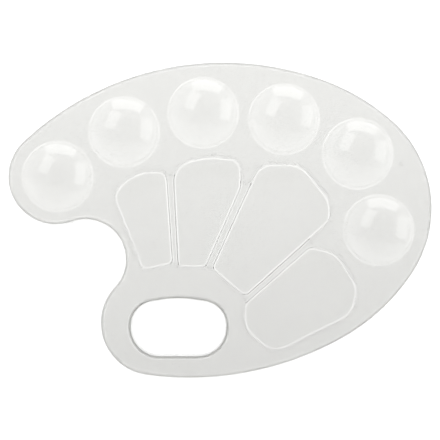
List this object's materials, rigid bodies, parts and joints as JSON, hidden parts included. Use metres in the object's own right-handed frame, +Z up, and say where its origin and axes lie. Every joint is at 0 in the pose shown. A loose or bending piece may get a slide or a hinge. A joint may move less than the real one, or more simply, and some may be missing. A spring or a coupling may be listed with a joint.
{
  "type": "mixing palette",
  "caption": "Kidney-shaped clear plastic painter's palette with round wells, petal-shaped wells, a turned-down rim and a thumb hole.",
  "frame": {"origin": "middle of the outline's bounding box, on the plane that the rim rests on", "axes": "+X from the round nose beside the finger notch towards the broad end, +Y towards the arc of round wells, +Z up out of the wells"},
  "size_m": [0.2344, 0.1748, 0.011],
  "materials": {
    "clear_plastic": "polished clear polystyrene, slightly warm grey in thick sections"
  },
  "bodies": {
    "root": {"palette_moulding": "clear_plastic"}
  },
  "joints": []
}
